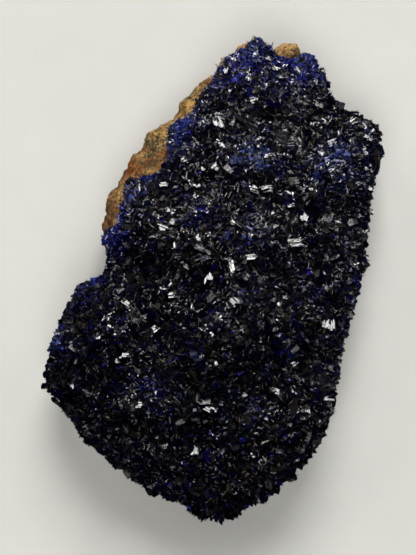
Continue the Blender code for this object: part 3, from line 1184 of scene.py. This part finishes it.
class AZURITE_OT_needles(bpy.types.Operator):
    """Lay thin dusty needles over the crystals"""

    bl_idname = "azurite.needles"
    bl_label = "Needles"

    SPACING = 0.2
    HEIGHT = 0.22  # of a needle's middle above the skin
    FACE_SLOPE = 0.8  # needles lie only where the skin's normal rises more than this
    LEAN = 2.0  # far over, so that they lie rather than stand
    FAMILY = (2.0, 0.3)  # size of a family, and the share of loyal ones
    WIDTHS = (0.015, 0.04)  # this and the next ones: least and most
    LENGTHS = (0.2, 0.65)
    TONES = (0.1, 0.4)
    DUST = (0.3, 1.0)
    FLATNESS = 0.7  # thickness as a share of the width

    def execute(self, context):
        rng = np.random.default_rng(context.scene.azurite_crust.seed + 3)
        skin = Skin(bpy.data.objects["azurite_crust_skin"])
        points, normals = skin.scatter(self.SPACING, rng)
        on_face = normals[:, 2] > self.FACE_SLOPE
        points, normals = points[on_face], normals[on_face]
        axes = growth_axes(points, normals, self.LEAN, *self.FAMILY, rng)
        count = len(points)
        width = rng.uniform(*self.WIDTHS, count)
        length = rng.uniform(*self.LENGTHS, count)
        sizes = np.stack((width, width * self.FLATNESS, length), axis=1) * MM
        middles = points + normals * self.HEIGHT * MM
        tone = rng.uniform(*self.TONES, count)
        shapes = fine_shapes()[1:]
        which = rng.integers(len(shapes), size=count)
        dust = rng.uniform(*self.DUST, count)
        needles = Blades(middles, axes, sizes, which, tone, dust).clear_of(BARE_SPOTS)
        build_blades("azurite_needles", shapes, needles, DULL)
        return {"FINISHED"}


class AZURITE_OT_bright_blades(bpy.types.Operator):
    """Set the single larger blades that lie flat to the light"""

    bl_idname = "azurite.bright_blades"
    bl_label = "Bright blades"

    HEIGHT = 0.28  # of a blade's middle above the skin
    ABOVE = 50.0  # from where the skin is looked for
    LATH = 0.14  # width of the parallel laths that make up a blade
    SLIPS = (-0.12, 0.12)  # how far a lath sticks out at an end, as shares of the blade's length
    WIDTHS = (0.8, 1.5)  # of the laths, as shares of their places
    THICKNESSES = (0.12, 0.3)
    LENGTHS = (0.6, 1.05)  # as shares of the blade's length
    TONES = (0.1, 0.4)  # least and most
    STACKED = 0.5  # how many laths carry another

    def execute(self, context):
        rng = np.random.default_rng(context.scene.azurite_crust.seed + 2)
        skin = bpy.data.objects["azurite_crust_skin"]
        tree = BVHTree.FromObject(skin, context.evaluated_depsgraph_get())
        # Halfway between the main light and a viewer straight above
        facing = normalized(np.array(light_direction(*KEY_PLACE)) + (0, 0, 1))
        middles, axes, sizes = [], [], []
        for x, y, length, width, turn in BRIGHT_BLADES:
            hit, normal, _, _ = tree.ray_cast(Vector((x, y, self.ABOVE)) * MM, Vector((0, 0, -1)))
            if hit is None:
                raise RuntimeError(f"The bright blade at {x}, {y} has no crust under it")
            angle = math.radians(turn)
            along = np.array((math.cos(angle), math.sin(angle), 0.0))
            along = normalized(along - facing * along.dot(facing))
            across = np.cross(facing, along)
            middle = np.array(hit + normal * self.HEIGHT * MM)
            laths = max(2, round(width / self.LATH))
            for place in np.linspace(-0.5, 0.5, laths) * (laths - 1) / laths:
                slip = rng.uniform(*self.SLIPS)
                move = across * place * width + along * slip * length
                middles.append(middle + move * MM)
                axes.append((across, facing, along))
                lath_width = width / laths * rng.uniform(*self.WIDTHS)
                lath_thickness = rng.uniform(*self.THICKNESSES)
                lath_length = length * rng.uniform(*self.LENGTHS)
                sizes.append(np.array((lath_width, lath_thickness, lath_length)) * MM)
        count = len(middles)
        shapes = crystal_shapes()
        which = rng.integers(len(shapes), size=count)
        tone = rng.uniform(*self.TONES, count)
        axes = nudged(np.array(axes).transpose(1, 0, 2), 0.04, rng)
        blades = Blades(np.array(middles), axes, np.array(sizes), which, tone, np.zeros(count))
        blades = blades.stacked(self.STACKED, rng)
        build_blades("azurite_bright_blades", shapes, blades, GLASSY, SHINING_LINES)
        return {"FINISHED"}


class AZURITE_OT_limonite(bpy.types.Operator):
    """Model the rough skin of the limonite rock"""

    bl_idname = "azurite.limonite"
    bl_label = "Limonite"

    def execute(self, context):
        settings = context.scene.azurite_rock
        layers = (
            ("rock lumps", "CLOUDS", 0.9, settings.lump_depth / MM, 0.3),
            ("rock pits", "VORONOI", 0.45, 0.3, 0.35),
            ("rock grain", "CLOUDS", 0.2, 0.24, 0.5),
        )
        rock = rough_skin(ROCK_NODE, "limonite_rock", settings.skin_voxel, 6, layers)
        swell(rock, ROCK_SWELLS)
        for vertex in rock.data.vertices:
            vertex.co.z = max(vertex.co.z, 0.0)
        smooth_shade(rock, 20)
        finish_piece(rock, limonite_material(settings))
        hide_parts(ROCK_NODE)
        return {"FINISHED"}


class AZURITE_OT_stage(bpy.types.Operator):
    """Set the pale table, the light and the camera"""

    bl_idname = "azurite.stage"
    bl_label = "Stage"

    TABLE = 3.0  # metres
    RIM_HEIGHT = 4.0  # where the crust is widest
    AIM = (-0.28, 0.35)  # what the middle of the picture shows

    def execute(self, context):
        settings = context.scene.azurite_stage
        self.lay_table(tuple(settings.floor_colour))
        soft_light("key", *KEY_PLACE, KEY_SIZE, settings.key_radiance, KEY_COLOUR)
        lights = {name: soft_light(name, *values) for name, *values in FILL_LIGHTS}
        lights["front"].visible_camera = False
        lights["over"].visible_glossy = False
        light_room()
        self.aim_camera(context.scene, settings)
        return {"FINISHED"}

    def lay_table(self, colour):
        deselect_all()
        bpy.ops.mesh.primitive_plane_add(size=self.TABLE, location=(0, 0, 0))
        table = bpy.context.object
        table.name = "table"
        shader = Shader("table", Metallic=0.0, Roughness=0.7, Specular_IOR_Level=0.15)
        grain = shader.spread(shader.noise(3.0, detail=5.0), 0.3, 0.7, 0.97, 1.0)
        colour = shader.mix(grain, (0, 0, 0), colour)
        table.data.materials.append(shader.set(Base_Color=colour))
        table.visible_glossy = False

    def aim_camera(self, scene, settings):
        camera = bpy.data.cameras.new("camera")
        camera.lens = settings.lens
        camera.clip_start = 1 * MM
        camera.clip_end = 10.0
        view = bpy.data.objects.new("camera", camera)
        away = settings.picture_height / MM * settings.lens / camera.sensor_width
        view.location = Vector((*self.AIM, self.RIM_HEIGHT + away)) * MM
        scene.collection.objects.link(view)
        scene.camera = view
        scene.view_settings.view_transform = "Standard"


class AZURITE_PT_panel(bpy.types.Panel):
    """Lists the specimen's pieces and their settings"""

    bl_label = "Azurite Specimen"
    bl_idname = "AZURITE_PT_panel"
    bl_space_type = "VIEW_3D"
    bl_region_type = "UI"
    bl_category = "Azurite"

    def draw(self, context):
        for name, settings, operators in PIECES:
            box = self.layout.box()
            for setting in settings.__annotations__:
                box.prop(getattr(context.scene, name), setting)
            for operator in operators:
                box.operator(operator.bl_idname)


# What the panel lists: the scene's property, its settings, and the operators that read them
PIECES = (
    (
        "azurite_crust",
        CrustSettings,
        (
            AZURITE_OT_crust_skin,
            AZURITE_OT_crystals,
            AZURITE_OT_fine_crystals,
            AZURITE_OT_needles,
            AZURITE_OT_bright_blades,
        ),
    ),
    ("azurite_rock", RockSettings, (AZURITE_OT_limonite,)),
    ("azurite_stage", StageSettings, (AZURITE_OT_stage,)),
)
CLASSES = [cls for _, settings, operators in PIECES for cls in (settings, *operators)]
CLASSES.append(AZURITE_PT_panel)


def register():
    for cls in CLASSES:
        bpy.utils.register_class(cls)
    for name, settings, _ in PIECES:
        setattr(bpy.types.Scene, name, bpy.props.PointerProperty(type=settings))


def unregister():
    for name, _, _ in PIECES:
        delattr(bpy.types.Scene, name)
    for cls in reversed(CLASSES):
        bpy.utils.unregister_class(cls)


def main():
    register()
    bpy.ops.azurite.stage()
    bpy.ops.azurite.crust_skin()
    bpy.ops.azurite.crystals()
    bpy.ops.azurite.fine_crystals()
    bpy.ops.azurite.needles()
    bpy.ops.azurite.bright_blades()
    bpy.ops.azurite.limonite()


if __name__ == "__main__":
    main()
